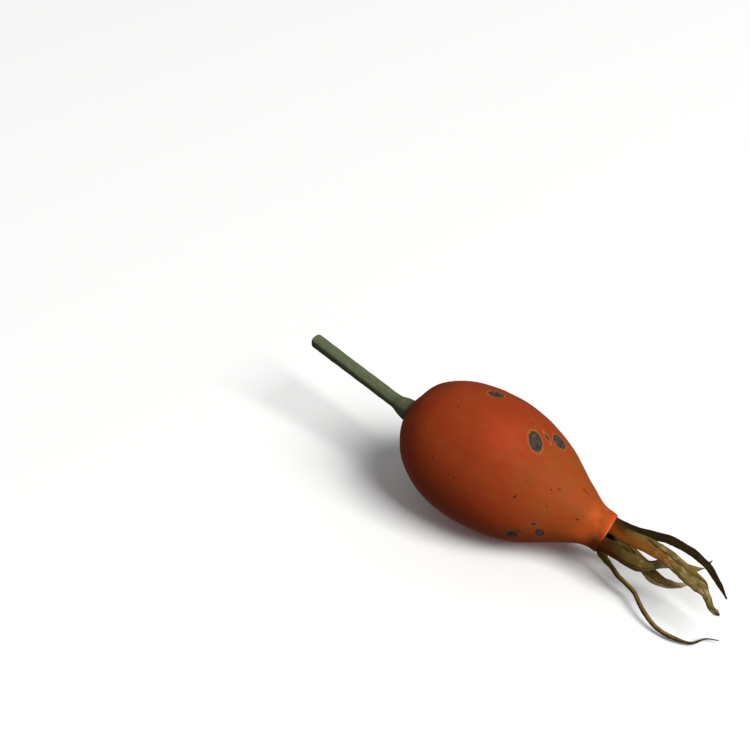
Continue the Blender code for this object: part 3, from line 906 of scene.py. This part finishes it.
def build_sepals(look):
    """The five dried sepals, each from its root in the rim to its tip."""
    for name, shape in SEPALS.items():
        turn = SEPAL_FIRST_TURN + SEPAL_TURN * shape["place"]
        facing = place_in_frame(0.0, -sin(turn), cos(turn))
        root = facing * SEPAL_RING + place_in_frame(SEPAL_START, 0.0, 0.0)
        collar = root + place_in_frame(shape["collar"] * MM, 0.0, 0.0)
        line = [root, collar] + [place_in_frame(*point) * MM for point in shape["line"]]
        bm, grain = start_mesh()
        blade = bm.verts.layers.float_vector.new("blade")
        add_blade(bm, grain, blade, line, shape, facing, look)
        if name == "arched_sepal":
            points = [place_in_frame(*point) * MM for point in TOOTH_LINE]
            tooth = add_thread(bm, grain, points, TOOTH_RADIUS, TOOTH_SIDES, TOOTH_STEPS, TOOTH_TIP)
            for vert in tooth:
                vert[blade] = Vector((0.0, 0.0, 1.0))
        add_piece(bm, name, sepal_finish(name, shape, look), [shape["node"]])


def crumb_finish(name, base, dust):
    """Dark crumbs with paler dust on them."""
    finish = Finish(name, Specular_IOR_Level=0.2)
    place = finish.settle(HIP_FRAME, (MM, MM, MM))
    crumbs = finish.noise(place, 3.5, 5.0, 0.7)
    fine = finish.noise(place, 14.0, 3.0, 0.7)
    colour = finish.mix(finish.rise(crumbs, 0.45, 0.7), base, dust)
    colour = finish.toned(colour, fine, (0.3, 0.7), (0.7, 1.3))
    return finish.shine(colour, 0.85 + fine * 0.1, crumbs * 0.2 + fine * 0.05)


def thread_finish(name, base, dust):
    """A dry thread with dusty bands."""
    finish = Finish(name, Specular_IOR_Level=0.3)
    grain = finish.attribute("grain")
    bands = finish.noise(grain, 2.5, 3.0)
    colour = finish.mix(finish.rise(bands, 0.35, 0.7), base, dust)
    return finish.shine(colour, 0.75 + bands * 0.15, bands * 0.01)


def add_thread(bm, grain, points, radius, sides, steps, tip=0.5):
    """Add a thin tube whose tip has a share of its radius, and give its vertices."""
    tube = []
    for vert, turn, part, spot, ahead in tube_along(bm, smooth_line(points, steps), sides):
        sideways = ahead.orthogonal().normalized()
        away = (sideways * cos(turn) + sideways.cross(ahead) * sin(turn)) * radius
        away *= 1.0 - (1.0 - tip) * part
        vert.co = HIP_FRAME @ (spot + away)
        vert[grain] = (spot + away) / MM
        tube.append(vert)
    return tube


def inside_tuft(spot):
    """The spot, pulled in where it would reach the sepals."""
    reach = spot.xy.length
    if reach > TUFT_ROOM:
        spot = Vector((spot.x * TUFT_ROOM / reach, spot.y * TUFT_ROOM / reach, spot.z))
    return spot


def dome_root(index, amount, turn, spread, height):
    """A thread's root on the dome, the way outwards there, and its share of the dome's radius."""
    reach = sqrt((index + 0.5) / amount)
    outward = Vector((cos(turn), sin(turn), 0.0))
    root = outward * (reach * TUFT_RADIUS * spread)
    root.z = TUFT_BASE + TUFT_HEIGHT * height * sqrt(max(0.0, 1.0 - reach * reach))
    return root, outward, reach


def stray(chance, most):
    """A small random change of direction."""
    return Vector([chance.uniform(-most, most) for _ in range(3)])


def build_dome(look):
    """The crumbly dome of dried styles."""
    bm, _ = start_mesh()
    bmesh.ops.create_uvsphere(bm, u_segments=DOME_SIDES, v_segments=DOME_RINGS, radius=TUFT_RADIUS)
    for vert in bm.verts:
        height = max(vert.co.z, -0.25 * TUFT_RADIUS) * TUFT_HEIGHT / TUFT_RADIUS
        rough = 1.0 + 0.16 * noise.noise(vert.co / LUMP_SIZE) + 0.08 * noise.noise(vert.co / CRUMB_SIZE)
        vert.co = Vector((vert.co.x * rough, vert.co.y * rough, height * rough))
    bmesh.ops.remove_doubles(bm, verts=bm.verts, dist=MERGE / 10.0)
    bmesh.ops.transform(bm, verts=bm.verts, matrix=HIP_FRAME @ Matrix.Translation((0.0, 0.0, TUFT_BASE)))
    crumbs = crumb_finish("dry_styles", look.dome, look.dust)
    add_piece(bm, "stamen_dome", crumbs, ["stamen_tuft"])


def build_stamens(look, chance):
    """The dark stamens that stand on the dome."""
    bm, grain = start_mesh()
    for index in range(look.stamens):
        root, outward, reach = dome_root(index, look.stamens, index * GOLDEN_TURN, 0.95, 0.8)
        points = [root]
        lean = outward * (0.35 * reach) + Vector((0.0, 0.0, 1.0))
        for _ in range(STAMEN_BENDS):
            lean = lean.normalized() + stray(chance, 0.35)
            step = lean.normalized() * chance.uniform(*STAMEN_REACH) * MM
            points.append(inside_tuft(points[-1] + step))
        add_thread(bm, grain, points, look.stamen_radius, STAMEN_SIDES, STAMEN_STEPS)
    add_piece(bm, "dry_stamens", thread_finish("dry_stamen", look.stamen, look.dust))


def build_hairs(look, chance):
    """The curly hairs among the stamens."""
    bm, grain = start_mesh()
    for index in range(look.hairs):
        root, outward, _ = dome_root(index, look.hairs, index * GOLDEN_TURN * 1.7, 1.0, 0.85)
        points = [root]
        way = outward + stray(chance, 1.0) + Vector((0.0, 0.0, 1.0))
        for _ in range(HAIR_BENDS):
            way = way.normalized() + stray(chance, 0.8)
            way.z += 0.12
            step = way.normalized() * chance.uniform(*HAIR_REACH) * MM
            points.append(inside_tuft(points[-1] + step))
        add_thread(bm, grain, points, look.hair_radius, HAIR_SIDES, HAIR_STEPS)
    add_piece(bm, "style_hairs", thread_finish("style_hair", look.hair, look.dust))


def build_tuft(look):
    """The dome of dried styles, with the stamens and the hairs that stand on it."""
    chance = random.Random(SEED)
    build_dome(look)
    build_stamens(look, chance)
    build_hairs(look, chance)


def build_floor(look):
    """A plain pale floor, which throws no light back on the hip."""
    bm = bmesh.new()
    bmesh.ops.create_grid(bm, x_segments=1, y_segments=1, size=look.floor / 2.0)
    bmesh.ops.translate(bm, verts=bm.verts, vec=(0.0, 0.0, -FLOOR_GAP))
    mesh = bpy.data.meshes.new("floor")
    bm.to_mesh(mesh)
    bm.free()
    paper = Finish("floor_paper", Specular_IOR_Level=0.1, Roughness=0.9)
    paper.feed(paper.shader.inputs["Base Color"], tuple(look.floor_colour))
    mesh.materials.append(paper.material)
    floor = new_object("floor", mesh)
    floor.visible_diffuse = False
    floor.visible_glossy = False


def build_key_light(look):
    """One large soft light, aimed at the middle of the hip."""
    flat = cos(look.key_height)
    towards = Vector((cos(look.key_turn) * flat, sin(look.key_turn) * flat, sin(look.key_height)))
    lamp = bpy.data.lights.new("key_light", 'AREA')
    lamp.shape = 'SQUARE'
    lamp.size = look.key_size
    lamp.energy = look.key_power
    key = new_object("key_light", lamp)
    key.location = Vector(LIGHT_AIM) + towards * look.key_distance
    key.rotation_euler = towards.to_track_quat('Z', 'Y').to_euler()


def build_camera():
    """The camera at the photograph's viewing angle."""
    lens = bpy.data.cameras.new("camera")
    lens.lens = CAMERA_LENS
    lens.sensor_width = CAMERA_SENSOR
    lens.clip_start = 0.01
    lens.clip_end = 10.0
    camera = new_object("camera", lens)
    camera.location = CAMERA_PLACE
    camera.rotation_euler = Euler(CAMERA_TURN)
    bpy.context.scene.camera = camera


def build_studio(look):
    """The floor, the key light, a weak light from all round, and the camera."""
    scene = bpy.context.scene
    scene.view_settings.view_transform = 'Standard'
    world = bpy.data.worlds.new("studio")
    world.use_nodes = True
    sky = world.node_tree.nodes["Background"]
    sky.inputs["Color"].default_value = (1.0, 1.0, 1.0, 1.0)
    sky.inputs["Strength"].default_value = look.sky
    scene.world = world
    build_floor(look)
    build_key_light(look)
    build_camera()


class ROSEHIP_OT_add_flesh(bpy.types.Operator):
    """Add the hip with its skin, lip and disc"""

    bl_idname = "rosehip.add_flesh"
    bl_label = "Hip"

    def execute(self, context):
        build_flesh(context.scene.rosehip_skin)
        return {'FINISHED'}


class ROSEHIP_OT_add_stem(bpy.types.Operator):
    """Add the cut stem"""

    bl_idname = "rosehip.add_stem"
    bl_label = "Stem"

    def execute(self, context):
        build_stem(context.scene.rosehip_stem)
        return {'FINISHED'}


class ROSEHIP_OT_add_sepals(bpy.types.Operator):
    """Add the five dried sepals"""

    bl_idname = "rosehip.add_sepals"
    bl_label = "Sepals"

    def execute(self, context):
        build_sepals(context.scene.rosehip_sepals)
        return {'FINISHED'}


class ROSEHIP_OT_add_tuft(bpy.types.Operator):
    """Add the tuft of dried stamens and styles"""

    bl_idname = "rosehip.add_tuft"
    bl_label = "Stamens"

    def execute(self, context):
        build_tuft(context.scene.rosehip_tuft)
        return {'FINISHED'}


class ROSEHIP_OT_set_studio(bpy.types.Operator):
    """Set the floor, the lights and the camera"""

    bl_idname = "rosehip.set_studio"
    bl_label = "Studio"

    def execute(self, context):
        build_studio(context.scene.rosehip_studio)
        return {'FINISHED'}


# Each sub-part's group of settings in the scene, its settings and its operator
SUB_PARTS = {
    "rosehip_skin": (HipSkinSettings, ROSEHIP_OT_add_flesh),
    "rosehip_stem": (StemSettings, ROSEHIP_OT_add_stem),
    "rosehip_sepals": (SepalSettings, ROSEHIP_OT_add_sepals),
    "rosehip_tuft": (TuftSettings, ROSEHIP_OT_add_tuft),
    "rosehip_studio": (StudioSettings, ROSEHIP_OT_set_studio),
}


class ROSEHIP_PT_panel(bpy.types.Panel):
    """Lists the hip's pieces and their settings"""

    bl_idname = "ROSEHIP_PT_panel"
    bl_label = "Rose Hip"
    bl_space_type = 'VIEW_3D'
    bl_region_type = 'UI'
    bl_category = "Rose Hip"

    def draw(self, context):
        for group, (settings, operator) in SUB_PARTS.items():
            box = self.layout.box()
            box.operator(operator.bl_idname)
            for name in settings.__annotations__:
                box.prop(getattr(context.scene, group), name)


def register():
    for group, (settings, operator) in SUB_PARTS.items():
        bpy.utils.register_class(settings)
        setattr(bpy.types.Scene, group, PointerProperty(type=settings))
        bpy.utils.register_class(operator)
    bpy.utils.register_class(ROSEHIP_PT_panel)


def unregister():
    bpy.utils.unregister_class(ROSEHIP_PT_panel)
    for group, (settings, operator) in reversed(SUB_PARTS.items()):
        bpy.utils.unregister_class(operator)
        delattr(bpy.types.Scene, group)
        bpy.utils.unregister_class(settings)


def main():
    """Build the hip in its studio."""
    register()
    bpy.ops.rosehip.set_studio()
    bpy.ops.rosehip.add_flesh()
    bpy.ops.rosehip.add_stem()
    bpy.ops.rosehip.add_sepals()
    bpy.ops.rosehip.add_tuft()


if __name__ == "__main__":
    main()
